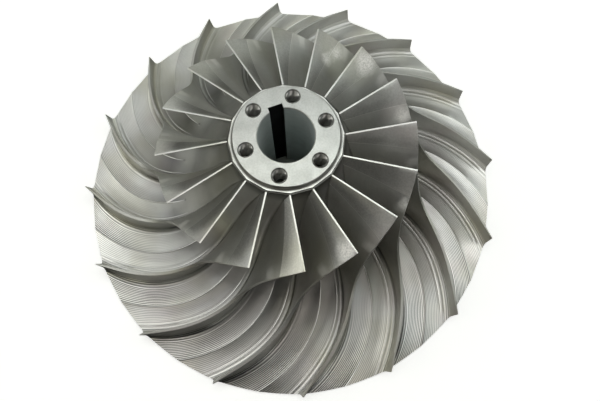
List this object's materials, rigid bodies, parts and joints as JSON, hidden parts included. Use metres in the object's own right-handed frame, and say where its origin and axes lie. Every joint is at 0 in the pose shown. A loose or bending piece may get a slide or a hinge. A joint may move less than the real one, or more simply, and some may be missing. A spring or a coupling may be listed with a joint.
{
  "type": "radial compressor impeller",
  "caption": "Open radial impeller with backswept full blades on a flared hub disc, keyed bore and a tapped nose face, milled in one piece.",
  "frame": {"origin": "centre of the flat back face, on the wheel's axis", "axes": "+Z along the axis from the back face to the nose; the front blade tips sweep back clockwise as seen from the nose, so the wheel turns counter-clockwise from there"},
  "size_m": [0.3348, 0.3348, 0.1015],
  "materials": {
    "milled_aluminium": "satin, with fine milling lines along the passages and turned faces on the nose"
  },
  "bodies": {
    "root": {"impeller_wheel": "milled_aluminium"}
  },
  "joints": []
}
